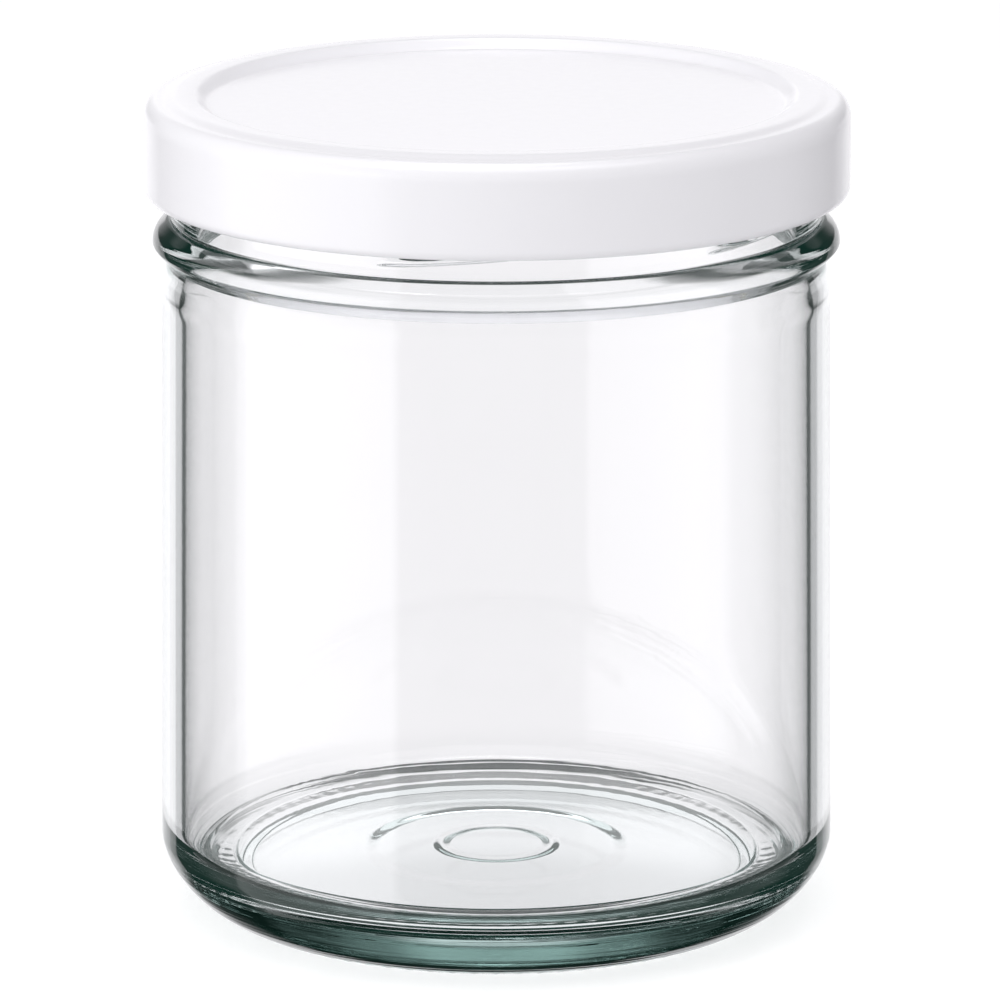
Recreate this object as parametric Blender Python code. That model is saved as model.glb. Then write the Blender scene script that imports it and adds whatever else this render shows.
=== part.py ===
"""A preserving jar: glass jar, twist-off lid and the sealing ring in the lid.

Metres, +Z up. The origin is the middle of the ring that the jar stands on. The front faces -Y.
"""

import math

import bpy

# Jar: radii, from the mouth outwards
MOUTH_RADIUS = 0.0363
NECK_WALL = 0.0030
SHOULDER_STEP = 0.0015
BODY_WALL = 0.0027
BEAD_OVERHANG = 0.00105
NOTCH_DEPTH = 0.0005
HEEL_REACH = 0.0108
BEARING_WIDTH = 0.0024
INNER_HEEL_REACH = 0.0061

# Jar: heights, from the table upwards
RIM_HEIGHT = 0.0993
PUSH_UP = 0.0032
PUSH_UP_STEP = 0.0014
BASE_THICKNESS = 0.0050
FLOOR_DOME = 0.0008
HEEL_HEIGHT = 0.0092
INNER_HEEL_HEIGHT = 0.0066
SHOULDER_HEIGHT = 0.0031
INNER_SHOULDER_HEIGHT = 0.0090
BEAD_HALF_HEIGHT = 0.0030
NECK_SHOWING = 0.00295
RIM_ROUND = 0.0012

# Jar: small forms of the base
CREASE_WIDTH = 0.0008
CREASE_DEPTH = 0.0003
DIMPLE_RADIUS = 0.0121
DIMPLE_DEPTH = 0.0004
DIMPLE_SLOPE = 0.0008
MEDAL_RADIUS = 0.0066
MEDAL_WIDTH = 0.0012
MEDAL_RISE = 0.00035
GROOVE_PITCH = 0.0021
GROOVE_WIDTH = 0.0013
GROOVE_DEPTH = 0.00045
GROOVE_LENGTH = 0.0045
GROOVE_INSET = 0.0006

# Thread: ramps round the neck, one for each lug of the lid
THREAD_STARTS = 6
THREAD_LEAD = 0.021
RAMP_DEPTH = 0.00135
RAMP_HEIGHT = 0.0014
RAMP_CHAMFER = 0.00035
RAMP_ROOT = 0.0006
RAMP_SINK = 0.0003
RAMP_SWEEP = math.radians(82)
RAMP_FADE = math.radians(11)
RAMP_START = math.radians(-112)

# Lid: one pressed and curled sheet
SHEET = 0.0003
LID_HEIGHT = 0.0119
CURL_WIDTH = 0.0017
CURL_DROP = 0.0011
CURL_LEG = 0.0009
SHOULDER_ROUND = 0.00205
SHOULDER_FALL = 0.0022
SHOULDER_DIP = 0.00045
CREST_RUN = 0.0017
PANEL_DEPTH = 0.0012
PANEL_INSET = 0.0019
PANEL_WALL_RUN = 0.0022
LUG_WIDTH = math.radians(13)
LUG_HEIGHT = 0.0012
LUG_DEPTH = 0.0012
LUG_LIFT = 0.0003
LUG_ROUND = 0.0003
LUG_START = math.radians(-49.5)

# Seal: a flat ring of soft compound between the lid and the rim
SEAL_THICKNESS = 0.0008
SEAL_LAP = 0.0019

# Gap kept between pieces that touch or turn past each other
CLEARANCE = 0.0003

# Overrun of a cutter past the surface that it cuts
OVERRUN = 0.0006

# Facets
TURN_STEPS = 60
MERGE_DISTANCE = 0.00001
SHARP_ANGLE = math.radians(32)
HEEL_FULLNESS = 1.71

# Jar radii worked out
NECK_RADIUS = MOUTH_RADIUS + NECK_WALL
BODY_RADIUS = NECK_RADIUS + SHOULDER_STEP
BORE_RADIUS = BODY_RADIUS - BODY_WALL
BEAD_RADIUS = BODY_RADIUS + BEAD_OVERHANG
NOTCH_RADIUS = BODY_RADIUS - NOTCH_DEPTH
FOOT_RADIUS = BODY_RADIUS - HEEL_REACH
FOOT_INNER_RADIUS = FOOT_RADIUS - BEARING_WIDTH
FLOOR_RADIUS = BORE_RADIUS - INNER_HEEL_REACH

# Lid radii worked out: the curl clears the thread, and the panel sits inside the mouth
THREAD_RADIUS = NECK_RADIUS + RAMP_DEPTH
CURL_INNER_RADIUS = THREAD_RADIUS + CLEARANCE
LID_RADIUS = CURL_INNER_RADIUS + CURL_WIDTH
PANEL_RADIUS = MOUTH_RADIUS - PANEL_INSET
CREST_RADIUS = PANEL_RADIUS + PANEL_WALL_RUN
LUG_RADIUS = CURL_INNER_RADIUS - LUG_DEPTH

# Heights worked out: the lid hangs from the seal, and the seal lies on the rim
SEAL_BOTTOM = RIM_HEIGHT + CLEARANCE
SEAL_TOP = SEAL_BOTTOM + SEAL_THICKNESS
LID_TOP = SEAL_TOP + CLEARANCE + SHEET
LID_BOTTOM = LID_TOP - LID_HEIGHT
NECK_FOOT = LID_BOTTOM - NECK_SHOWING
BEAD_MIDDLE = NECK_FOOT - BEAD_HALF_HEIGHT
SHOULDER_TOP = BEAD_MIDDLE - BEAD_HALF_HEIGHT
SHOULDER_FOOT = SHOULDER_TOP - SHOULDER_HEIGHT
FLOOR_HEIGHT = PUSH_UP + BASE_THICKNESS
FLOOR_EDGE = FLOOR_HEIGHT - FLOOR_DOME

# Thread worked out: each ramp runs just above its lug and keeps to the same helix
THREAD_SLOPE = THREAD_LEAD / math.tau
LUG_BOTTOM = LID_BOTTOM + LUG_LIFT
RAMP_BOTTOM = LUG_BOTTOM + LUG_HEIGHT + CLEARANCE + THREAD_SLOPE * (RAMP_START - LUG_START)


def blend(share):
    """Ease from 0 to 1 with level ends."""
    return share * share * (3 - 2 * share)


def shares(count):
    """Even shares from 0 to 1, both ends included."""
    return [index / count for index in range(count + 1)]


def arc(centre, radii, start, end, steps):
    """Points (radius, height) along an ellipse, between two angles in degrees."""
    points = []
    for share in shares(steps):
        angle = math.radians(start + (end - start) * share)
        points.append((centre[0] + radii[0] * math.cos(angle), centre[1] + radii[1] * math.sin(angle)))
    return points


def ease(start, end, steps):
    """Points of an S-shaped run between two heights, level with the axis at both ends."""
    points = []
    for share in shares(steps):
        radius = start[0] + (end[0] - start[0]) * blend(share)
        points.append((radius, start[1] + (end[1] - start[1]) * share))
    return points


def full_corner(side, foot, fullness, steps):
    """A rounded corner from an upright side down to a level foot, fuller than a straight slope."""
    points = []
    for share in shares(steps):
        angle = math.pi / 2 * share
        radius = foot[0] + (side[0] - foot[0]) * math.cos(angle) ** (2 / fullness)
        points.append((radius, side[1] - (side[1] - foot[1]) * math.sin(angle) ** (2 / fullness)))
    return points


def parallel(points, distance):
    """The same line moved sideways, to the right of its direction."""
    moved = []
    for index, point in enumerate(points):
        before = points[max(index - 1, 0)]
        after = points[min(index + 1, len(points) - 1)]
        run = (after[0] - before[0], after[1] - before[1])
        length = math.hypot(*run)
        moved.append((point[0] + distance * run[1] / length, point[1] - distance * run[0] / length))
    return moved


def finish(name, vertices, edges, faces, place=0.0):
    """A mesh object whose origin is on the jar's axis, at the height given."""
    mesh = bpy.data.meshes.new(name)
    mesh.from_pydata([(x, y, z - place) for x, y, z in vertices], edges, faces)
    item = bpy.data.objects.new(name, mesh)
    item.location.z = place
    bpy.context.collection.objects.link(item)
    return item


def turned(name, profile, place=0.0):
    """A body of revolution. Its profile starts on the inside or on top and runs down the outer side."""
    vertices = [(radius, 0.0, height) for radius, height in profile]
    edges = [(index, index + 1) for index in range(len(profile) - 1)]
    if profile[0][0] > 0:
        edges.append((len(profile) - 1, 0))
    item = finish(name, vertices, edges, [], place)
    screw = item.modifiers.new("turn", "SCREW")
    screw.steps = TURN_STEPS
    screw.render_steps = TURN_STEPS
    screw.use_merge_vertices = True
    screw.merge_threshold = MERGE_DISTANCE
    return item


def combine(item, tool, operation):
    """Join a helper to a body, or cut the helper from it, and keep the helper out of sight."""
    boolean = item.modifiers.new(tool.name, "BOOLEAN")
    boolean.operation = operation
    boolean.object = tool
    tool.hide_render = True
    tool.display_type = "WIRE"
    return item


def swept(name, bars, place=0.0):
    """Closed bars, each given as rings of points that are bridged in turn and capped."""
    vertices = []
    faces = []
    for rings in bars:
        first = len(vertices)
        size = len(rings[0])
        for ring in rings:
            vertices.extend(ring)
        for row in range(len(rings) - 1):
            for side in range(size):
                near = first + row * size + side
                far = first + row * size + (side + 1) % size
                faces.append((near, far, far + size, near + size))
        faces.append(tuple(range(first + size - 1, first - 1, -1)))
        last = first + size * (len(rings) - 1)
        faces.append(tuple(range(last, last + size)))
    return finish(name, vertices, [], faces, place)


def around(radius, height, angle):
    """A point at a radius, a height and an angle about the jar's axis."""
    return (radius * math.cos(angle), radius * math.sin(angle), height)


def material(name, color, roughness, transmission=0.0, refraction=1.5):
    """A plain finish."""
    finish_material = bpy.data.materials.new(name)
    finish_material.use_nodes = True
    shader = finish_material.node_tree.nodes["Principled BSDF"]
    shader.inputs["Base Color"].default_value = (*color, 1.0)
    shader.inputs["Metallic"].default_value = 0.0
    shader.inputs["Roughness"].default_value = roughness
    shader.inputs["Transmission Weight"].default_value = transmission
    shader.inputs["IOR"].default_value = refraction
    return finish_material


def floor_profile():
    """The inside of the base, from the axis out to the foot of the inner heel."""
    dimple = DIMPLE_RADIUS
    crease = FLOOR_RADIUS - CREASE_WIDTH
    fall = FLOOR_DOME * blend((dimple + DIMPLE_SLOPE) / FLOOR_RADIUS)
    return [
        (0.0, FLOOR_HEIGHT - DIMPLE_DEPTH),
        (dimple - DIMPLE_SLOPE, FLOOR_HEIGHT - DIMPLE_DEPTH),
        (dimple + DIMPLE_SLOPE, FLOOR_HEIGHT - fall),
        (crease, FLOOR_EDGE),
        (FLOOR_RADIUS - CREASE_WIDTH / 2, FLOOR_EDGE - CREASE_DEPTH),
    ]


def underside_profile():
    """The push-up under the base, from the bearing ring in to the axis."""
    step = FOOT_INNER_RADIUS - PUSH_UP_STEP / 2
    dimple = DIMPLE_RADIUS
    slope = DIMPLE_SLOPE
    ring_outer = MEDAL_RADIUS + MEDAL_WIDTH / 2
    ring_inner = MEDAL_RADIUS - MEDAL_WIDTH / 2
    chamfer = MEDAL_RISE / 2
    points = [(FOOT_INNER_RADIUS, 0.0)]
    for share in shares(2):
        radius = step + (dimple + slope - step) * share
        points.append((radius, PUSH_UP_STEP + (PUSH_UP - PUSH_UP_STEP) * blend(share)))
    top = PUSH_UP + DIMPLE_DEPTH
    points += [
        (dimple - slope, top),
        (ring_outer + chamfer, top),
        (ring_outer - chamfer, top - MEDAL_RISE),
        (ring_inner + chamfer, top - MEDAL_RISE),
        (ring_inner - chamfer, top),
        (0.0, top),
    ]
    return points


def jar_profile():
    """The jar's section: up the inside, over the rim and down the outside."""
    heel_centre = (FLOOR_RADIUS, FLOOR_EDGE + INNER_HEEL_HEIGHT)
    inner_heel = arc(heel_centre, (INNER_HEEL_REACH, INNER_HEEL_HEIGHT), -90, 0, 5)
    shoulder_start = (BORE_RADIUS, SHOULDER_TOP - INNER_SHOULDER_HEIGHT)
    inner_shoulder = ease(shoulder_start, (MOUTH_RADIUS, SHOULDER_TOP), 4)
    rim_low = RIM_HEIGHT - RIM_ROUND
    rim_inner = arc((MOUTH_RADIUS + RIM_ROUND, rim_low), (RIM_ROUND, RIM_ROUND), 180, 90, 3)
    rim_outer = arc((NECK_RADIUS - RIM_ROUND, rim_low), (RIM_ROUND, RIM_ROUND), 90, 0, 3)
    bead_reach = BEAD_RADIUS - NECK_RADIUS
    notch_angle = -math.degrees(math.acos((NOTCH_RADIUS - NECK_RADIUS) / bead_reach))
    bead = arc((NECK_RADIUS, BEAD_MIDDLE), (bead_reach, BEAD_HALF_HEIGHT), 90, notch_angle, 8)
    body = ease(bead[-1], (BODY_RADIUS, SHOULDER_FOOT), 3)[1:]
    heel = full_corner((BODY_RADIUS, HEEL_HEIGHT), (FOOT_RADIUS, 0.0), HEEL_FULLNESS, 8)
    inside = floor_profile() + inner_heel + inner_shoulder
    return inside + rim_inner + rim_outer + bead + body + heel + underside_profile()


def ramp_rings(turn):
    """One thread ramp, swept up the helix, its ends fading into the neck."""
    root = NECK_RADIUS - RAMP_ROOT
    rings = []
    for share in shares(14):
        angle = RAMP_START + turn + RAMP_SWEEP * share
        bottom = RAMP_BOTTOM + THREAD_SLOPE * RAMP_SWEEP * share
        end = min(share, 1 - share) * RAMP_SWEEP
        rise = blend(min(end / RAMP_FADE, 1))
        crest = NECK_RADIUS - RAMP_SINK + (RAMP_DEPTH + RAMP_SINK) * rise
        chamfer = RAMP_CHAMFER * rise
        top = bottom + RAMP_HEIGHT
        section = [
            (root, bottom),
            (crest - chamfer, bottom),
            (crest, bottom + chamfer),
            (crest, top - 2 * chamfer),
            (crest - chamfer, top - chamfer),
            (root, top),
        ]
        rings.append([around(radius, height, angle) for radius, height in section])
    return rings


def groove_bar(angle):
    """One cutter for the ribbed edge of the bearing ring: a wedge that lies along a radius."""
    start = FOOT_RADIUS - GROOVE_INSET
    rings = []
    for radius in (start, start + GROOVE_LENGTH):
        half = GROOVE_WIDTH / 2 * (1 + OVERRUN / GROOVE_DEPTH)
        spread = half / radius
        rings.append(
            [
                around(radius, -OVERRUN, angle - spread),
                around(radius, -OVERRUN, angle + spread),
                around(radius, GROOVE_DEPTH, angle),
            ]
        )
    return rings


def make_jar():
    """The glass: a turned body, its thread ramps and the ribbed edge that it stands on."""
    jar = turned("glass_jar", jar_profile())
    turns = [math.tau * index / THREAD_STARTS for index in range(THREAD_STARTS)]
    ramps = swept("thread_ramps", [ramp_rings(turn) for turn in turns])
    combine(jar, ramps, "UNION")
    count = round(math.tau * FOOT_RADIUS / GROOVE_PITCH)
    grooves = swept("bearing_grooves", [groove_bar(math.tau * index / count) for index in range(count)])
    combine(jar, grooves, "DIFFERENCE")
    jar.data.materials.append(material("clear_glass", (0.93, 0.97, 0.95), 0.02, 1.0, 1.52))
    return jar


def lid_top_line():
    """The lid's outer surface, from the edge of the sunk panel to the top of the skirt."""
    wall = []
    for share in shares(4):
        radius = PANEL_RADIUS + PANEL_WALL_RUN * share
        wall.append((radius, LID_TOP - PANEL_DEPTH * (1 - blend(share))))
    crest_end = CREST_RADIUS + CREST_RUN
    shoulder_start = LID_RADIUS - SHOULDER_ROUND
    dip = []
    for share in shares(2):
        radius = crest_end + (shoulder_start - crest_end) * share
        dip.append((radius, LID_TOP - SHOULDER_DIP * blend(share)))
    centre = (shoulder_start, LID_TOP - SHOULDER_DIP - SHOULDER_FALL)
    return wall + dip + arc(centre, (SHOULDER_ROUND, SHOULDER_FALL), 90, 0, 5)[1:]


def make_lid():
    """The sheet of the lid with its curled edge, and the lugs that are pressed in from the curl."""
    half_curl = CURL_WIDTH / 2
    curl_centre = (LID_RADIUS - half_curl, LID_BOTTOM + CURL_DROP)
    curl = arc(curl_centre, (half_curl, CURL_DROP), 0, -180, 6)
    leg_end = (CURL_INNER_RADIUS, LID_BOTTOM + CURL_DROP + CURL_LEG)
    outer = lid_top_line() + curl + [leg_end]
    inner = parallel(outer, SHEET)
    top = (0.0, LID_TOP - PANEL_DEPTH)
    under = (0.0, LID_TOP - PANEL_DEPTH - SHEET)
    lid = turned("lid_shell", [top] + outer + inner[::-1] + [under], LID_BOTTOM)
    turns = [math.tau * index / THREAD_STARTS for index in range(THREAD_STARTS)]
    lugs = swept("lid_lugs", [lug_rings(turn) for turn in turns], LID_BOTTOM)
    combine(lid, lugs, "UNION")
    lid.data.materials.append(material("white_lacquer", (0.88, 0.88, 0.90), 0.25))
    return lid


def lug_rings(turn):
    """One lug, an inward fold of the curl that follows the helix of the thread."""
    root = CURL_INNER_RADIUS + SHEET / 2
    rings = []
    for share in shares(4):
        angle = LUG_START + turn + LUG_WIDTH * share
        bottom = LUG_BOTTOM + THREAD_SLOPE * LUG_WIDTH * share
        top = bottom + LUG_HEIGHT
        rounding = LUG_ROUND * blend(min(share, 1 - share) * 2)
        tip = LUG_RADIUS + LUG_ROUND - rounding
        section = [
            (tip, bottom + LUG_ROUND),
            (tip + LUG_ROUND, bottom),
            (root, bottom),
            (root, top),
            (tip + LUG_ROUND, top),
            (tip, top - LUG_ROUND),
        ]
        rings.append([around(radius, height, angle) for radius, height in section])
    return rings


def height_at(line, radius):
    """The height of a line of points at a radius."""
    for (near, low), (far, high) in zip(line, line[1:]):
        if near <= radius <= far:
            return low + (high - low) * (radius - near) / (far - near)
    return line[-1][1]


def make_seal():
    """The sealing ring, whose top follows the underside of the lid."""
    inner = CREST_RADIUS + SHEET + CLEARANCE
    outer = NECK_RADIUS + SEAL_LAP
    line = lid_top_line()
    top = []
    for share in shares(4):
        radius = inner + (outer - inner) * share
        top.append((radius, height_at(line, radius) - SHEET - CLEARANCE))
    profile = top + [(outer, SEAL_BOTTOM), (inner, SEAL_BOTTOM)]
    seal = turned("sealing_ring", profile, SEAL_BOTTOM)
    seal.data.materials.append(material("soft_compound", (0.80, 0.78, 0.73), 0.6))
    return seal


def shade(item):
    """Smooth shading with sharp creases."""
    item.data.shade_smooth()
    item.data.set_sharp_from_angle(angle=SHARP_ANGLE)


def main():
    for item in list(bpy.data.objects):
        bpy.data.objects.remove(item, do_unlink=True)
    jar = make_jar()
    seal = make_seal()
    lid = make_lid()
    lid_axis = bpy.data.objects.new("lid_axis", None)
    lid_axis.location.z = LID_BOTTOM
    bpy.context.collection.objects.link(lid_axis)
    for item in (seal, lid):
        item.parent = lid_axis
        item.location.z -= LID_BOTTOM
    for item in (jar, seal, lid):
        shade(item)


main()
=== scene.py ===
"""The looks of a preserving jar: clear moulded glass, a white lacquered lid and its sealing ring."""

import math

import bmesh
import bpy
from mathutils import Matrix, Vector


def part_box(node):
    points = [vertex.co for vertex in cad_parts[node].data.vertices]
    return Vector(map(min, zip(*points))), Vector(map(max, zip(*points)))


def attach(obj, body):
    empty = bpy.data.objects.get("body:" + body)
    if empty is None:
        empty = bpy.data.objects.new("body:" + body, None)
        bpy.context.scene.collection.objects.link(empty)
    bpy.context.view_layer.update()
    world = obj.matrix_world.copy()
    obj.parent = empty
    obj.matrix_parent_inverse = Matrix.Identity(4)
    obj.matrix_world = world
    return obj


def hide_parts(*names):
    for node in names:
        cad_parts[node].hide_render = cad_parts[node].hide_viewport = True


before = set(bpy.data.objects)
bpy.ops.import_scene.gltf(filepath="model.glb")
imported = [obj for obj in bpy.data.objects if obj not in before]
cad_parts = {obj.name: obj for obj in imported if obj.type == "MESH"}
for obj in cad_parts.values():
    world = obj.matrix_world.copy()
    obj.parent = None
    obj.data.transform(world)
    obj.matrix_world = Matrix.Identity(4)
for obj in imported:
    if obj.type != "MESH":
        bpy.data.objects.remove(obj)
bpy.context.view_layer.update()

# Places from the frame
_, jar_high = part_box("glass_jar")
lid_low, lid_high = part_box("lid_shell")
seal_low, seal_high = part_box("sealing_ring")

# Glass: radii and walls from the mouth down to the foot, and then the floor's edge
RIM_HEIGHT = jar_high.z
MOUTH_RADIUS = 0.0363
NECK_WALL = 0.0030
NECK_RADIUS = MOUTH_RADIUS + NECK_WALL
BEAD_RADIUS = 0.0415
NOTCH_RADIUS = 0.0398
SHOULDER_RADIUS = 0.0404
BODY_RADIUS = 0.0411
WALL = 0.0028
FOOT_RADIUS = 0.0312
FOOT_INNER_RADIUS = 0.0306
FLOOR_RADIUS = 0.0324
LEDGE_RADIUS = 0.0352

# Glass: the pushed-up underside, the floor, and the heel's rounded corners outside and inside
PUSH_UP_STEP = 0.00025
PUSH_UP_RUN = 0.0012
PUSH_UP = 0.0019
FLOOR_HEIGHT = 0.0092
FLOOR_EDGE = 0.0073
LEDGE_HEIGHT = 0.0077
HEEL_HEIGHT = 0.0094
HEEL_FULLNESS = 1.69
INNER_HEEL_HEIGHT = 0.0036
INNER_HEEL_FULLNESS = 2.0

# Glass: the bead under the lid, with its slopes in degrees, and the shoulder
LID_TO_NECK_FOOT = 0.00295
NECK_FOOT = lid_low.z - LID_TO_NECK_FOOT
BEAD_HALF_HEIGHT = 0.0030
BEAD_MIDDLE = NECK_FOOT - BEAD_HALF_HEIGHT
BEAD_CREASE = 0.0006
BEAD_TOP_SLOPE = 88
BEAD_SLOPE = 46
BEAD_ROUND = 0.0026
BEAD_EDGE = 0.00015
PARTING_WIDTH = 0.00035
PARTING_SLOPE = 32
NOTCH_SLOPE = 45
NOTCH_ROUND = 0.00006
SHOULDER_FOOT = 0.0774
INNER_SHOULDER_FOOT = 0.0757
INNER_SHOULDER_TOP = 0.0835
RIM_ROUND = 0.0014
# How far a straight wall stays clear of the curves at its ends
WALL_HOLD = 0.0006

# Glass: small forms of the base
CREASE_WIDTH = 0.0006
CREASE_DEPTH = 0.0003
DIMPLE_RADIUS = 0.0150
DIMPLE_SLOPE = 0.00126
DIMPLE_DEPTH = 0.00012
MEDAL_RADIUS = 0.0066
MEDAL_WIDTH = 0.0012
MEDAL_RISE = 0.00018
RIB_COUNT = 80
RIB_DEPTH = 0.00015
RIB_TOP = 0.0020
RIB_START = 0.0012
RIB_LENGTH = 0.0024
RIB_INNER = FOOT_RADIUS + RIB_START
RIB_OUTER = RIB_INNER + RIB_LENGTH

# Thread ramps round the neck, and the lid's lugs that run under them
THREAD_STARTS = 6
THREAD_LIFT = 0.021
THREAD_SLOPE = THREAD_LIFT / math.tau
RAMP_DEPTH = 0.00135
RAMP_HEIGHT = 0.0014
RAMP_EDGE = 0.0004
RAMP_SWEEP = math.radians(82)
RAMP_FADE = math.radians(11)
RAMP_START = math.radians(-112)
RAMP_RING_STEP = 0.00016
LUG_START = math.radians(-49.5)
LUG_WIDTH = math.radians(13)
LUG_DEPTH = 0.0012
LUG_RISE = 0.0002
LUG_FADE_SHARE = 0.25
LID_EDGE_TO_RAMP = 0.0018
RAMP_BOTTOM = lid_low.z + LID_EDGE_TO_RAMP + THREAD_SLOPE * (RAMP_START - LUG_START)

# Lid: the sheet, the curl at its edge, the shoulder, the crest and the sunk panel
SHEET = 0.0003
LID_RADIUS = lid_high.x
LID_TOP = lid_high.z
LID_BOTTOM = lid_low.z
CURL_WIDTH = 0.0017
CURL_DROP = 0.0011
CURL_LEG = 0.0009
CURL_INNER_RADIUS = LID_RADIUS - CURL_WIDTH
CURL_MIDDLE_RADIUS = LID_RADIUS - CURL_WIDTH / 2
SHOULDER_ROUND = 0.00205
SHOULDER_FALL = 0.0022
SHOULDER_DIP = 0.00045
SKIRT_HOLD = 0.0003
CREST_RUN = 0.0017
PANEL_DEPTH = 0.0012
MOUTH_TO_PANEL = 0.0019
PANEL_RADIUS = MOUTH_RADIUS - MOUTH_TO_PANEL
PANEL_WALL_RUN = 0.0022
PANEL_MIDDLE = 0.0040
PANEL_HOLD = 0.0005
CREST_RADIUS = PANEL_RADIUS + PANEL_WALL_RUN

# Sealing ring: its gap to the lid's sheet and how far its top falls to its outer edge
SEAL_GAP = 0.0003
SEAL_FALL_SHARE = 0.7
SEAL_LEVEL_SHARE = 0.5

# Steps of the turned pieces, four for each rib of the glass
GLASS_STEPS = 4 * RIB_COUNT
LID_STEPS = 240
MERGE = 1e-6

# Glass: its tint, its green where bead and heel are seen edge on, and what it absorbs along its depth
GLASS_TINT = (1.0, 0.985, 0.99)
GLASS_IOR = 1.52
DEEP_GREEN = (0.12, 0.20, 0.18)
ABSORPTION_TINT = (0.40, 0.70, 0.66)
ABSORPTION_DENSITY = 10.0
# Painted glow: the glass surface glows faintly green, so that long paths inside the glass end dark green and
# not black
PAINTED_GLASS_GLOW = 0.004
PAINTED_GLOW_GREEN = (0.22, 1.0, 0.76)

# Glass: where the heel and the bead are, each with the start and end of its soft edge
HEEL_HEIGHTS = (0.0076, 0.0068)
HEEL_RADII = (0.0326, 0.0334)
BEAD_REACHES = (BEAD_HALF_HEIGHT + 0.0006, BEAD_HALF_HEIGHT - 0.0004)
BEAD_RADII = (NECK_RADIUS + 0.0001, NECK_RADIUS + 0.0006)
HEEL_FACING = (0.20, 0.36)
BEAD_FACING = (0.66, 0.86)

# Glass: faint waves that run round the jar, stronger where the glass is thick
WAVE_SCALE = 900.0
DRIFT_SCALE = 25.0
WALL_WAVES = 0.0000020
THICK_WAVES = 0.00010

# Lacquer and compound: colours, the grain of their surface, and roughness from low to high
LACQUER_WHITE = (0.90, 0.895, 0.92)
LACQUER_GRAIN = 700.0
LACQUER_DEPTH = 0.0000003
LACQUER_GLOSS = (0.14, 0.22)
COMPOUND_WHITE = (0.80, 0.78, 0.73)
COMPOUND_GRAIN = 900.0
COMPOUND_DEPTH = 0.00001
COMPOUND_GLOSS = (0.5, 0.7)

# Camera: it looks down a little, from the front
CAMERA_DISTANCE = 0.9325
CAMERA_PITCH = 0.241
CAMERA_TARGET = Vector((0.00045, 0.0, 0.05046))
CAMERA_LENS = 275.6
SENSOR_WIDTH = 36
CLIP_END = 20

# Floor: its side, its drop under the jar, its shade in the light, and its shade and glow in the camera
FLOOR_SIDE = 6
FLOOR_DROP = 0.00002
FLOOR_SHADE = 0.9
FLOOR_ROUGHNESS = 0.9
FLOOR_SEEN_SHADE = 0.5
FLOOR_GLOW = 0.64

# Studio: the light on matt surfaces, the light that reaches them through glass, and its colour
AMBIENT = 0.64
AMBIENT_THROUGH_GLASS = 2.4
COOL_WHITE = (0.988, 0.978, 1.0)
WHITE = (1.0, 1.0, 1.0)
LAMP_AIM = Vector((0, 0, 0.05))
# A count of bounces over this is at least one
ANY_BOUNCE = 0.5

# Studio: what glass and gloss show, as (degrees, brightness) round from straight behind the jar
DARK_STOPS = ((36.5, 0.06), (55, 0.06), (78, 0.45))
LEFT_STOPS = ((0, 1.02), (7, 1.13), (14, 1.16), (26, 1.1), (28.5, 0.85), (34.5, 0.7)) + DARK_STOPS
LEFT_STOPS += ((82, 1.35), (144, 1.35), (146, 0.45), (180, 0.45))
RIGHT_STOPS = ((0, 1.02), (7, 1.12), (20, 1.08), (26, 0.92), (28.5, 0.64), (34.5, 0.55)) + DARK_STOPS
RIGHT_STOPS += ((100, 0.35), (104, 0.55), (140, 0.55), (144, 0.45), (180, 0.45))
# What is seen straight through the glass is bright nearly all round
CLEAR_STOPS = ((0, 0.0), (31, 0.0), (37, 1.0), (180, 1.0))
# A factor on that by degrees up from straight below: dark table, bright wall, dark gap, lit ceiling
RISE_STOPS = ((0, 0.0), (46, 0.02), (50, 1.0), (107, 1.0), (113, 0.5), (124, 0.08), (146, 0.08))
RISE_STOPS += ((154, 4.0), (180, 4.0))
# Dark flags beside the jar: their strength by degrees up, and the light that they leave by degrees round
FLAG_RISE_STOPS = ((0, 1.0), (62, 1.0), (68, 0.0), (90, 0.0), (93, 1.0), (103, 1.0), (108, 0.7), (180, 0.7))
FLAG_STOPS = ((0, 1.0), (7, 1.0), (15, 0.45), (26, 0.06), (70, 0.06), (79, 1.0), (180, 1.0))
# A bright strip of the table straight behind the jar, by degrees round and up
STRIP_TURN_STOPS = ((0, 1.0), (12, 1.0), (17, 0.0), (180, 0.0))
STRIP_RISE_STOPS = ((0, 0.0), (46, 0.0), (50, 1.0), (66, 1.0), (71, 0.0), (180, 0.0))

# Sockets of a Mix node that mixes colours
MIX_FACTOR, MIX_FIRST, MIX_SECOND, MIX_RESULT = 0, 6, 7, 2


def shares(count):
    """Even shares from 0 to 1, both ends included."""
    return [index / count for index in range(count + 1)]


def blend(share):
    """Ease from 0 to 1 with level ends, held at both ends."""
    share = min(max(share, 0.0), 1.0)
    return share * share * (3 - 2 * share)


def line(start, end, steps):
    """Points of a straight run, both ends included."""
    return [tuple(a + (b - a) * share for a, b in zip(start, end)) for share in shares(steps)]


def arc(centre, radii, start, end, steps):
    """Points (radius, height) along an ellipse, between two angles in degrees."""
    points = []
    for share in shares(steps):
        angle = math.radians(start + (end - start) * share)
        points.append((centre[0] + radii[0] * math.cos(angle), centre[1] + radii[1] * math.sin(angle)))
    return points


def rounding(centre, radius, start, end, steps):
    """Points along a circle, between two angles in degrees."""
    return arc(centre, (radius, radius), start, end, steps)


def ease(start, end, steps):
    """An S-shaped run from one radius and height to another."""
    return [
        (start[0] + (end[0] - start[0]) * blend(share), start[1] + (end[1] - start[1]) * share)
        for share in shares(steps)
    ]


def full_corner(side, foot, fullness, steps):
    """A rounded corner from an upright side down to a level foot."""
    points = []
    for share in shares(steps):
        angle = math.pi / 2 * share
        radius = foot[0] + (side[0] - foot[0]) * math.cos(angle) ** (2 / fullness)
        points.append((radius, side[1] - (side[1] - foot[1]) * math.sin(angle) ** (2 / fullness)))
    return points


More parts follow.
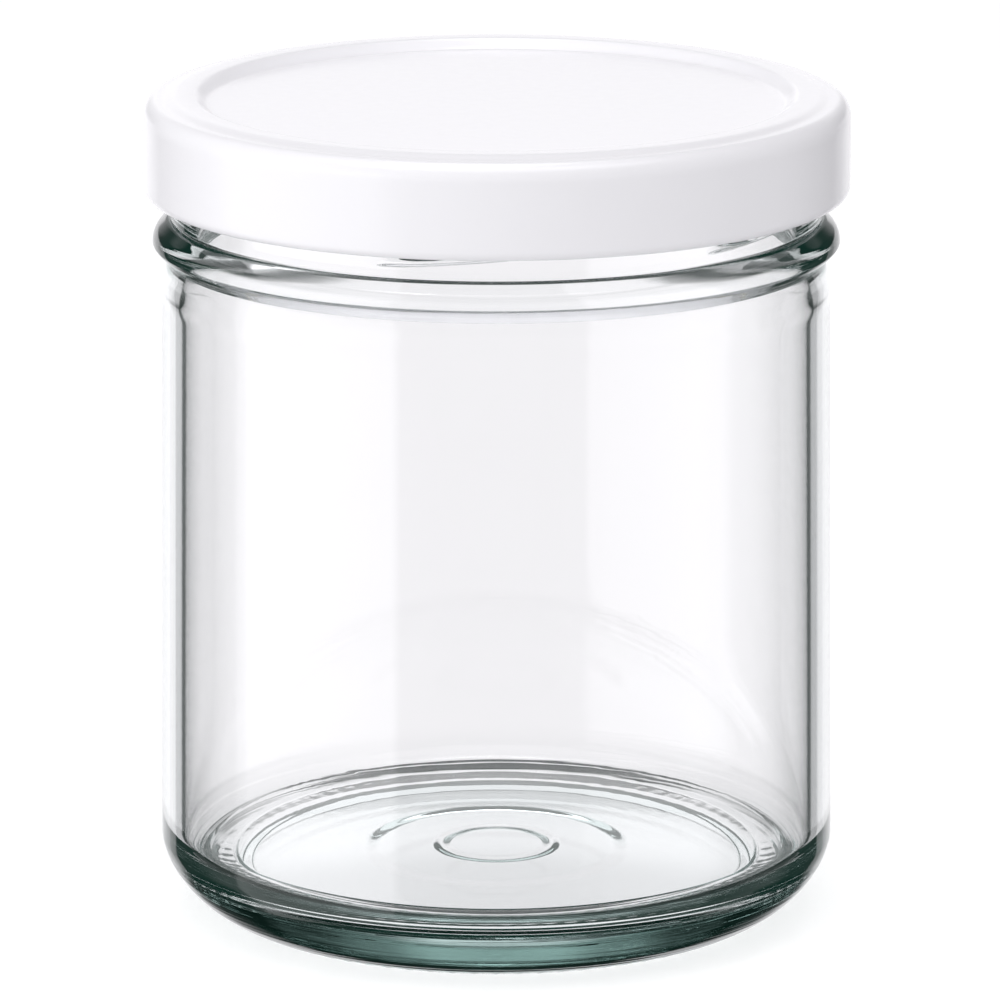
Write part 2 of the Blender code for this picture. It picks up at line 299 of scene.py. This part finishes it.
def parallel(points, distance):
    """The same line moved sideways, to the right of its direction."""
    moved = []
    for index, point in enumerate(points):
        before = points[max(index - 1, 0)]
        after = points[min(index + 1, len(points) - 1)]
        run = (after[0] - before[0], after[1] - before[1])
        length = math.hypot(*run)
        moved.append((point[0] + distance * run[1] / length, point[1] - distance * run[0] / length))
    return moved


def thinned(points):
    """The line without points that lie on their neighbour."""
    kept = [points[0]]
    for point in points[1:]:
        if math.dist(point, kept[-1]) > 2 * MERGE:
            kept.append(point)
    return kept


def turned(name, outline, steps, closed=False):
    """Bend a circle into the section's outline, then turn it about the jar's axis."""
    outline = thinned(outline)
    bpy.ops.object.select_all(action="DESELECT")
    bpy.ops.mesh.primitive_circle_add(vertices=len(outline), radius=BODY_RADIUS)
    piece = bpy.context.object
    piece.name = name
    piece.data.name = name
    bpy.ops.object.mode_set(mode="EDIT")
    mesh = bmesh.from_edit_mesh(piece.data)
    mesh.verts.ensure_lookup_table()
    for vertex, (radius, height) in zip(mesh.verts, outline):
        vertex.co = (radius, 0.0, height)
    if not closed:
        mesh.edges.remove(mesh.edges.get((mesh.verts[0], mesh.verts[-1])))
    bmesh.update_edit_mesh(piece.data)
    bpy.ops.object.mode_set(mode="OBJECT")
    turn = piece.modifiers.new("turn", "SCREW")
    turn.steps = steps
    turn.render_steps = steps
    turn.use_merge_vertices = True
    turn.merge_threshold = MERGE
    bpy.ops.object.modifier_apply(modifier="turn")
    bpy.ops.object.mode_set(mode="EDIT")
    bpy.ops.mesh.select_all(action="SELECT")
    bpy.ops.mesh.remove_doubles(threshold=MERGE)
    bpy.ops.mesh.normals_make_consistent(inside=False)
    bpy.ops.mesh.faces_shade_smooth()
    bpy.ops.object.mode_set(mode="OBJECT")
    return piece


def raised(piece, name, weight, height):
    """Raise the surface along its normals where the weight function says so."""
    group = piece.vertex_groups.new(name=name)
    for vertex in piece.data.vertices:
        share = weight(vertex.co)
        if share > 0:
            group.add([vertex.index], share, "REPLACE")
    bpy.ops.object.select_all(action="DESELECT")
    piece.select_set(True)
    bpy.context.view_layer.objects.active = piece
    lift = piece.modifiers.new(name, "DISPLACE")
    lift.strength = height
    lift.mid_level = 0.0
    lift.vertex_group = name
    bpy.ops.object.modifier_apply(modifier=name)
    return piece


def turn_from(angle, start, starts):
    """How far an angle lies past the latest of several even starts."""
    return (angle - start) % (math.tau / starts)


def dome(radius, reach, centre, edge):
    """The height of a shallow dome at a radius, level in its middle."""
    return centre - (centre - edge) * (radius / reach) ** 2


def floor_outline():
    """The floor inside, from its middle to the groove round its edge."""
    reach = FLOOR_RADIUS - CREASE_WIDTH
    points = []
    for share in shares(20):
        radius = reach * (1 - (1 - share) ** 2)
        points.append((radius, dome(radius, FLOOR_RADIUS, FLOOR_HEIGHT, FLOOR_EDGE)))
    for share in shares(8):
        radius = reach + CREASE_WIDTH * share
        height = dome(radius, FLOOR_RADIUS, FLOOR_HEIGHT, FLOOR_EDGE)
        points.append((radius, height - CREASE_DEPTH * math.sin(math.pi * share)))
    return points


def inner_side_outline():
    """From the floor's edge up the inner heel, the wall and the shoulder to the mouth."""
    bore = BODY_RADIUS - WALL
    heel_top = LEDGE_HEIGHT + INNER_HEEL_HEIGHT
    ledge = (LEDGE_RADIUS, LEDGE_HEIGHT)
    side = ease((FLOOR_RADIUS, FLOOR_EDGE), ledge, steps=8)
    side += full_corner((bore, heel_top), ledge, INNER_HEEL_FULLNESS, steps=20)[::-1]
    shoulder_bore = SHOULDER_RADIUS - WALL
    side += line((bore, heel_top + WALL_HOLD), (shoulder_bore, INNER_SHOULDER_FOOT - WALL_HOLD), steps=4)
    side += ease((shoulder_bore, INNER_SHOULDER_FOOT), (MOUTH_RADIUS, INNER_SHOULDER_TOP), steps=16)
    rim_low = RIM_HEIGHT - RIM_ROUND
    return side + line(
        (MOUTH_RADIUS, INNER_SHOULDER_TOP + WALL_HOLD), (MOUTH_RADIUS, rim_low - WALL_HOLD), steps=2
    )


def neck_outline():
    """Over the rim and down the neck, with close rings where the thread ramps lie."""
    rim_low = RIM_HEIGHT - RIM_ROUND
    neck = rounding((MOUTH_RADIUS + RIM_ROUND, rim_low), RIM_ROUND, 180, 90, steps=6)
    neck += rounding((NECK_RADIUS - RIM_ROUND, rim_low), RIM_ROUND, 90, 0, steps=6)
    ramps_top = RAMP_BOTTOM + THREAD_SLOPE * RAMP_SWEEP + RAMP_HEIGHT + RAMP_EDGE
    ramp_rings = round((ramps_top - RAMP_BOTTOM) / RAMP_RING_STEP)
    neck += line((NECK_RADIUS, rim_low - WALL_HOLD), (NECK_RADIUS, ramps_top), steps=3)
    neck += line((NECK_RADIUS, ramps_top), (NECK_RADIUS, RAMP_BOTTOM), steps=ramp_rings)
    return neck + line((NECK_RADIUS, RAMP_BOTTOM), (NECK_RADIUS, NECK_FOOT), steps=3)


def bead_outline():
    """The bead: a crease, a sloping top, a round belly, the parting edge and a sharp notch."""
    steep = math.radians(BEAD_TOP_SLOPE)
    top = (NECK_RADIUS - BEAD_CREASE * math.cos(steep), NECK_FOOT - BEAD_CREASE * math.sin(steep))
    bead = rounding(top, BEAD_CREASE, BEAD_TOP_SLOPE, BEAD_SLOPE, steps=8)
    belly = rounding((BEAD_RADIUS - BEAD_ROUND, BEAD_MIDDLE), BEAD_ROUND, BEAD_SLOPE, 0, steps=12)
    bead += line(bead[-1], belly[0], steps=4) + belly
    bead += rounding((BEAD_RADIUS - BEAD_EDGE, BEAD_MIDDLE), BEAD_EDGE, 0, -PARTING_SLOPE, steps=4)
    turn = math.radians(PARTING_SLOPE)
    radius, height = bead[-1]
    low_edge = (radius - PARTING_WIDTH * math.sin(turn), height - PARTING_WIDTH * math.cos(turn))
    bead += line((radius, height), low_edge, steps=3)
    flank = math.radians(NOTCH_SLOPE)
    notch_start = NOTCH_RADIUS + NOTCH_ROUND * (1 - math.cos(flank))
    fall = (low_edge[0] - notch_start) / math.tan(flank) + NOTCH_ROUND * math.sin(flank)
    centre = (NOTCH_RADIUS + NOTCH_ROUND, low_edge[1] - fall)
    notch = rounding(centre, NOTCH_ROUND, 180 - NOTCH_SLOPE, 180, steps=6)
    return bead + line(low_edge, notch[0], steps=6) + notch


def underside_outline():
    """The base from the ring that it stands on to its middle, pushed up."""
    reach = FOOT_INNER_RADIUS - PUSH_UP_RUN
    points = ease((FOOT_INNER_RADIUS, 0.0), (reach, PUSH_UP_STEP), steps=10)
    stops = (reach, DIMPLE_RADIUS + DIMPLE_SLOPE, DIMPLE_RADIUS - DIMPLE_SLOPE)
    stops += (MEDAL_RADIUS + MEDAL_WIDTH, MEDAL_RADIUS - MEDAL_WIDTH, 0.0)
    ring_counts = (12, 10, 6, 12, 5)
    radii = [stops[0]]
    for start, end, steps in zip(stops, stops[1:], ring_counts):
        radii += [start + (end - start) * blend(share) for share in shares(steps)[1:]]
    for radius in radii:
        height = dome(radius, reach, PUSH_UP, PUSH_UP_STEP)
        height += DIMPLE_DEPTH * (1 - blend((radius - DIMPLE_RADIUS + DIMPLE_SLOPE) / (2 * DIMPLE_SLOPE)))
        past = (radius - MEDAL_RADIUS) / MEDAL_WIDTH
        if abs(past) < 1:
            height -= MEDAL_RISE * math.cos(math.pi / 2 * past) ** 2
        points.append((radius, height))
    return points


def glass_outline():
    """The jar's whole section: up the inside, over the rim, down the outside and in under the base."""
    outline = floor_outline() + inner_side_outline() + neck_outline() + bead_outline()
    outline += ease(outline[-1], (SHOULDER_RADIUS, SHOULDER_FOOT), steps=14)
    body_top = (SHOULDER_RADIUS, SHOULDER_FOOT - WALL_HOLD)
    outline += line(body_top, (BODY_RADIUS, HEEL_HEIGHT + WALL_HOLD), steps=4)
    outline += full_corner((BODY_RADIUS, HEEL_HEIGHT), (FOOT_RADIUS, 0.0), HEEL_FULLNESS, steps=28)
    return outline + underside_outline()


def ramp_weight(place):
    """The share of the ramps' depth at a point of the neck."""
    if not NECK_FOOT < place.z < RIM_HEIGHT - RIM_ROUND:
        return 0.0
    if math.hypot(place.x, place.y) < NECK_RADIUS - MERGE:
        return 0.0
    angle = math.atan2(place.y, place.x)
    best = 0.0
    for back in (0, 1):
        past = turn_from(angle, RAMP_START, THREAD_STARTS) + back * math.tau / THREAD_STARTS
        if past > RAMP_SWEEP:
            continue
        end = blend(min(past, RAMP_SWEEP - past) / RAMP_FADE)
        rise = place.z - RAMP_BOTTOM - THREAD_SLOPE * past
        flank = blend(rise / RAMP_EDGE) * blend((RAMP_HEIGHT - rise) / (2 * RAMP_EDGE))
        best = max(best, end * flank)
    return best


def rib_weight(place):
    """The share of the ribs' depth at a point of the ring that the jar stands on."""
    radius = math.hypot(place.x, place.y)
    if place.z > RIB_TOP or not RIB_INNER < radius < RIB_OUTER:
        return 0.0
    across = math.sqrt(math.sin(math.pi * (radius - RIB_INNER) / (RIB_OUTER - RIB_INNER)))
    return across * (1 - math.cos(RIB_COUNT * math.atan2(place.y, place.x))) / 2


def make_glass():
    """The jar: one turned wall, with its thread ramps raised and its ribs sunk."""
    glass = turned("moulded_glass", glass_outline(), GLASS_STEPS)
    raised(glass, "thread", ramp_weight, RAMP_DEPTH)
    raised(glass, "ribs", rib_weight, -RIB_DEPTH)
    return glass


def lid_outline():
    """The lid's section: out over the top, down the skirt, round the curl and back inside."""
    panel = LID_TOP - PANEL_DEPTH
    outer = line((PANEL_MIDDLE, panel), (PANEL_RADIUS - PANEL_HOLD, panel), steps=4)
    outer += [
        (PANEL_RADIUS + PANEL_WALL_RUN * share, LID_TOP - PANEL_DEPTH * (1 - blend(share)))
        for share in shares(10)
    ]
    crest_end = CREST_RADIUS + CREST_RUN
    shoulder_start = LID_RADIUS - SHOULDER_ROUND
    outer += [
        (crest_end + (shoulder_start - crest_end) * share, LID_TOP - SHOULDER_DIP * blend(share))
        for share in shares(6)
    ]
    skirt_top = LID_TOP - SHOULDER_DIP - SHOULDER_FALL
    curl_top = LID_BOTTOM + CURL_DROP
    outer += arc((shoulder_start, skirt_top), (SHOULDER_ROUND, SHOULDER_FALL), 90, 0, steps=14)
    outer += line((LID_RADIUS, skirt_top - SKIRT_HOLD), (LID_RADIUS, curl_top + SKIRT_HOLD), steps=3)
    outer += arc((CURL_MIDDLE_RADIUS, curl_top), (CURL_WIDTH / 2, CURL_DROP), 0, -180, steps=18)
    outer += line((CURL_INNER_RADIUS, curl_top), (CURL_INNER_RADIUS, curl_top + CURL_LEG), steps=5)
    outer = thinned(outer)
    inner = parallel(outer, SHEET)
    return [(0.0, panel)] + outer + inner[::-1] + [(0.0, panel - SHEET)]


def lug_weight(place):
    """The share of the lugs' depth at a point of the curl's inner side."""
    radius = math.hypot(place.x, place.y)
    if place.z > LID_BOTTOM + CURL_DROP + CURL_LEG or radius > CURL_MIDDLE_RADIUS:
        return 0.0
    past = turn_from(math.atan2(place.y, place.x), LUG_START, THREAD_STARTS)
    if past > LUG_WIDTH:
        return 0.0
    across = blend(min(past, LUG_WIDTH - past) / (LUG_WIDTH * LUG_FADE_SHARE))
    inward = blend((CURL_MIDDLE_RADIUS - radius) / (CURL_WIDTH / 2))
    return across * inward * blend((place.z - LID_BOTTOM + LUG_RISE) / CURL_DROP)


def make_lid():
    """The lid: one pressed sheet, with its lugs drawn in from the curl."""
    lid = turned("pressed_lid", lid_outline(), LID_STEPS)
    return raised(lid, "lugs", lug_weight, LUG_DEPTH)


def make_seal():
    """The sealing ring: level inside, and falling to its outer edge."""
    low, high = seal_low.z, seal_high.z
    inner = CREST_RADIUS + SHEET + SEAL_GAP
    outer = seal_high.x
    outline = []
    for share in shares(8):
        fall = SEAL_FALL_SHARE * blend((share - SEAL_LEVEL_SHARE) / (1 - SEAL_LEVEL_SHARE))
        outline.append((inner + (outer - inner) * share, high - (high - low) * fall))
    outline += [(outer, low), (inner, low)]
    return turned("poured_seal", outline, LID_STEPS, closed=True)


def feed(tree, socket, value):
    """Link an output to a socket, or set the socket to a number."""
    if isinstance(value, bpy.types.NodeSocket):
        tree.links.new(value, socket)
    else:
        socket.default_value = value


def maths(tree, operation, *values):
    """One Math node, fed with outputs or numbers."""
    node = tree.nodes.new("ShaderNodeMath")
    node.operation = operation
    for socket, value in zip(node.inputs, values):
        feed(tree, socket, value)
    return node.outputs[0]


def between(tree, share, first, second):
    """From the first value to the second as the share goes from 0 to 1."""
    return maths(tree, "ADD", first, maths(tree, "MULTIPLY", share, maths(tree, "SUBTRACT", second, first)))


def mixed(tree, share, first, second):
    """From the first colour to the second as the share goes from 0 to 1."""
    node = tree.nodes.new("ShaderNodeMix")
    node.data_type = "RGBA"
    tree.links.new(share, node.inputs[MIX_FACTOR])
    node.inputs[MIX_FIRST].default_value = (*first, 1.0)
    node.inputs[MIX_SECOND].default_value = (*second, 1.0)
    return node.outputs[MIX_RESULT]


def faded(tree, value, edge):
    """A smooth change from 0 to 1 while a value goes from one end of a soft edge to the other."""
    node = tree.nodes.new("ShaderNodeMapRange")
    node.interpolation_type = "SMOOTHSTEP"
    feed(tree, node.inputs["Value"], value)
    node.inputs["From Min"].default_value, node.inputs["From Max"].default_value = edge
    return node.outputs["Result"]


def bumped(tree, shader, height):
    """Give a shader a bump whose heights are in metres."""
    bump = tree.nodes.new("ShaderNodeBump")
    bump.inputs["Strength"].default_value = 1.0
    bump.inputs["Distance"].default_value = 1.0
    tree.links.new(height, bump.inputs["Height"])
    tree.links.new(bump.outputs["Normal"], shader.inputs["Normal"])


def principled(name, color, roughness):
    """A new material, and its Principled shader."""
    finish = bpy.data.materials.new(name)
    finish.use_nodes = True
    shader = finish.node_tree.nodes["Principled BSDF"]
    shader.inputs["Base Color"].default_value = (*color, 1.0)
    shader.inputs["Roughness"].default_value = roughness
    return finish, shader


def axes_of(tree, coordinates):
    """The three axes of one kind of texture coordinates."""
    coords = tree.nodes.new("ShaderNodeTexCoord")
    axes = tree.nodes.new("ShaderNodeSeparateXYZ")
    tree.links.new(coords.outputs[coordinates], axes.inputs["Vector"])
    return axes.outputs


def glass_waves(tree, x, y, z, reach, thick):
    """The height of waves that run round the jar and drift slowly, stronger in thick glass."""
    place = tree.nodes.new("ShaderNodeCombineXYZ")
    tree.links.new(maths(tree, "MULTIPLY", x, DRIFT_SCALE), place.inputs["X"])
    tree.links.new(maths(tree, "MULTIPLY", y, DRIFT_SCALE), place.inputs["Y"])
    tree.links.new(maths(tree, "MULTIPLY", maths(tree, "ADD", z, reach), WAVE_SCALE), place.inputs["Z"])
    waves = tree.nodes.new("ShaderNodeTexNoise")
    waves.inputs["Scale"].default_value = 1.0
    waves.inputs["Detail"].default_value = 1.0
    tree.links.new(place.outputs["Vector"], waves.inputs["Vector"])
    depth = maths(tree, "ADD", WALL_WAVES, maths(tree, "MULTIPLY", thick, THICK_WAVES - WALL_WAVES))
    return maths(tree, "MULTIPLY", waves.outputs[0], depth)


def glass_finish():
    """Clear glass, green through the edges of the heel and the bead, that absorbs light along its depth,
    with a faint painted green glow on its surface.
    """
    finish, shader = principled("clear_glass", GLASS_TINT, 0.0)
    shader.inputs["IOR"].default_value = GLASS_IOR
    shader.inputs["Transmission Weight"].default_value = 1.0
    # Painted glow: a faint green emission over the whole glass surface
    shader.inputs["Emission Color"].default_value = (*PAINTED_GLOW_GREEN, 1.0)
    shader.inputs["Emission Strength"].default_value = PAINTED_GLASS_GLOW
    tree = finish.node_tree
    x, y, z = axes_of(tree, "Object")
    squares = maths(tree, "ADD", maths(tree, "MULTIPLY", x, x), maths(tree, "MULTIPLY", y, y))
    reach = maths(tree, "SQRT", squares)
    heel = maths(tree, "MULTIPLY", faded(tree, z, HEEL_HEIGHTS), faded(tree, reach, HEEL_RADII))
    from_bead = maths(tree, "ABSOLUTE", maths(tree, "SUBTRACT", z, BEAD_MIDDLE))
    bead = maths(tree, "MULTIPLY", faded(tree, from_bead, BEAD_REACHES), faded(tree, reach, BEAD_RADII))
    layer = tree.nodes.new("ShaderNodeLayerWeight")
    layer.inputs["Blend"].default_value = 0.5
    facing = layer.outputs["Facing"]
    heel_green = maths(tree, "MULTIPLY", heel, faded(tree, facing, HEEL_FACING))
    bead_green = maths(tree, "MULTIPLY", bead, faded(tree, facing, BEAD_FACING))
    tint = mixed(tree, maths(tree, "MAXIMUM", heel_green, bead_green), GLASS_TINT, DEEP_GREEN)
    tree.links.new(tint, shader.inputs["Base Color"])
    bumped(tree, shader, glass_waves(tree, x, y, z, reach, maths(tree, "MAXIMUM", heel, bead)))
    volume = tree.nodes.new("ShaderNodeVolumeAbsorption")
    volume.inputs["Color"].default_value = (*ABSORPTION_TINT, 1.0)
    volume.inputs["Density"].default_value = ABSORPTION_DENSITY
    tree.links.new(volume.outputs["Volume"], tree.nodes["Material Output"].inputs["Volume"])
    return finish


def grained(finish, shader, scale, depth, gloss):
    """Give a finish a fine uneven surface: a bump and a change of roughness between two values."""
    tree = finish.node_tree
    coords = tree.nodes.new("ShaderNodeTexCoord")
    grain = tree.nodes.new("ShaderNodeTexNoise")
    grain.inputs["Scale"].default_value = scale
    grain.inputs["Detail"].default_value = 2.0
    tree.links.new(coords.outputs["Object"], grain.inputs["Vector"])
    bumped(tree, shader, maths(tree, "MULTIPLY", grain.outputs[0], depth))
    low, high = gloss
    rough = maths(tree, "ADD", low, maths(tree, "MULTIPLY", grain.outputs[0], high - low))
    tree.links.new(rough, shader.inputs["Roughness"])


def lacquer_finish():
    """White lacquer with a trace of the dimples that it dries with."""
    finish, shader = principled("white_lacquer", LACQUER_WHITE, LACQUER_GLOSS[0])
    grained(finish, shader, LACQUER_GRAIN, LACQUER_DEPTH, LACQUER_GLOSS)
    return finish


def compound_finish():
    """Matt off-white sealing compound."""
    finish, shader = principled("soft_compound", COMPOUND_WHITE, COMPOUND_GLOSS[0])
    grained(finish, shader, COMPOUND_GRAIN, COMPOUND_DEPTH, COMPOUND_GLOSS)
    return finish


def dress(piece, finish, node, body):
    """Give a piece its material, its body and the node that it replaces."""
    piece.data.materials.clear()
    piece.data.materials.append(finish)
    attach(piece, body)
    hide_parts(node)


def make_camera():
    """The camera at the photograph's angle."""
    data = bpy.data.cameras.new("camera")
    data.lens = CAMERA_LENS
    data.sensor_width = SENSOR_WIDTH
    data.clip_end = CLIP_END
    camera = bpy.data.objects.new("camera", data)
    bpy.context.collection.objects.link(camera)
    back = Vector((0.0, -math.cos(CAMERA_PITCH), math.sin(CAMERA_PITCH)))
    camera.location = CAMERA_TARGET + CAMERA_DISTANCE * back
    camera.rotation_euler = (math.pi / 2 - CAMERA_PITCH, 0.0, 0.0)
    bpy.context.scene.camera = camera


def stepped(tree, angle, stops):
    """A value that follows stops of (degrees, value) along an angle from 0 to half a turn."""
    node = tree.nodes.new("ShaderNodeValToRGB")
    ramp = node.color_ramp
    ramp.interpolation = "EASE"
    while len(ramp.elements) < len(stops):
        ramp.elements.new(1.0)
    peak = max(value for _, value in stops)
    for element, (degrees, value) in zip(ramp.elements, stops):
        element.position = degrees / 180
        element.color = (*[value / peak] * 3, 1.0)
    tree.links.new(maths(tree, "DIVIDE", angle, math.pi), node.inputs["Fac"])
    return maths(tree, "MULTIPLY", node.outputs["Color"], peak)


def studio_pattern(tree, through):
    """The brightness that glass and gloss show in each direction, more for what is seen straight through."""
    x, y, z = axes_of(tree, "Generated")
    turn = maths(tree, "ABSOLUTE", maths(tree, "ARCTAN2", x, y))
    rise = maths(tree, "ADD", maths(tree, "ARCSINE", z), math.pi / 2)
    right_side = maths(tree, "GREATER_THAN", x, 0.0)
    around = between(tree, right_side, stepped(tree, turn, LEFT_STOPS), stepped(tree, turn, RIGHT_STOPS))
    clear = maths(tree, "MULTIPLY", through, stepped(tree, turn, CLEAR_STOPS))
    around = maths(tree, "MAXIMUM", around, clear)
    flagged = maths(tree, "SUBTRACT", 1.0, stepped(tree, turn, FLAG_STOPS))
    flagged = maths(tree, "MULTIPLY", flagged, stepped(tree, rise, FLAG_RISE_STOPS))
    around = maths(tree, "MULTIPLY", around, maths(tree, "SUBTRACT", 1.0, flagged))
    around = maths(tree, "MULTIPLY", around, stepped(tree, rise, RISE_STOPS))
    strip_rise = stepped(tree, rise, STRIP_RISE_STOPS)
    strip = maths(tree, "MULTIPLY", strip_rise, stepped(tree, turn, STRIP_TURN_STOPS))
    return between(tree, strip, around, 1.0)


def make_world():
    """The studio round the jar: even light on matt surfaces, a pattern in glass and gloss, white behind."""
    world = bpy.data.worlds.new("studio")
    bpy.context.scene.world = world
    world.use_nodes = True
    tree = world.node_tree
    tree.nodes.clear()
    path = tree.nodes.new("ShaderNodeLightPath").outputs
    seen = path["Is Camera Ray"]
    sharp = maths(tree, "MAXIMUM", path["Is Glossy Ray"], path["Is Transmission Ray"])
    through = maths(tree, "LESS_THAN", path["Glossy Depth"], ANY_BOUNCE)
    strength = between(tree, sharp, AMBIENT, studio_pattern(tree, through))
    onto_matt = maths(tree, "GREATER_THAN", path["Diffuse Depth"], ANY_BOUNCE)
    onto_matt = maths(tree, "MULTIPLY", sharp, onto_matt)
    strength = between(tree, onto_matt, strength, AMBIENT_THROUGH_GLASS)
    background = tree.nodes.new("ShaderNodeBackground")
    tree.links.new(mixed(tree, seen, COOL_WHITE, WHITE), background.inputs["Color"])
    tree.links.new(between(tree, seen, strength, 1.0), background.inputs["Strength"])
    output = tree.nodes.new("ShaderNodeOutputWorld")
    tree.links.new(background.outputs["Background"], output.inputs["Surface"])


def softbox(name, azimuth, elevation, distance, width, height, watts):
    """A rectangular lamp that faces the jar, placed by its azimuth from the camera's side."""
    data = bpy.data.lights.new(name, "AREA")
    data.shape = "RECTANGLE"
    data.size = width
    data.size_y = height
    data.energy = watts
    lamp = bpy.data.objects.new(name, data)
    bpy.context.collection.objects.link(lamp)
    turn, lift = math.radians(azimuth), math.radians(elevation)
    back = Vector((math.sin(turn) * math.cos(lift), -math.cos(turn) * math.cos(lift), math.sin(lift)))
    lamp.location = LAMP_AIM + back * distance
    lamp.rotation_mode = "QUATERNION"
    lamp.rotation_quaternion = back.to_track_quat("Z", "Y")
    lamp.visible_transmission = False
    lamp.visible_glossy = False


def make_floor():
    """A white floor: it keeps the jar's shadow, and the camera sees it white."""
    bpy.ops.object.select_all(action="DESELECT")
    bpy.ops.mesh.primitive_plane_add(size=FLOOR_SIDE, location=(0, 0, -FLOOR_DROP))
    floor = bpy.context.object
    floor.name = "floor"
    finish, shader = principled("pale_floor", [FLOOR_SHADE] * 3, FLOOR_ROUGHNESS)
    shader.inputs["Specular IOR Level"].default_value = 0.0
    shader.inputs["Emission Color"].default_value = (*WHITE, 1.0)
    tree = finish.node_tree
    seen = tree.nodes.new("ShaderNodeLightPath").outputs["Is Camera Ray"]
    tree.links.new(between(tree, seen, FLOOR_SHADE, FLOOR_SEEN_SHADE), shader.inputs["Base Color"])
    tree.links.new(maths(tree, "MULTIPLY", seen, FLOOR_GLOW), shader.inputs["Emission Strength"])
    floor.data.materials.append(finish)
    floor.visible_transmission = False
    floor.visible_glossy = False


make_camera()
dress(make_glass(), glass_finish(), "glass_jar", "jar")
dress(make_lid(), lacquer_finish(), "lid_shell", "lid")
dress(make_seal(), compound_finish(), "sealing_ring", "seal")
make_floor()
make_world()
softbox("left_softbox", azimuth=-60, elevation=15, distance=0.8, width=0.9, height=1.0, watts=3.1)
softbox("top_softbox", azimuth=0, elevation=75, distance=0.8, width=0.8, height=0.8, watts=2.35)

bpy.context.scene.view_settings.view_transform = "Standard"
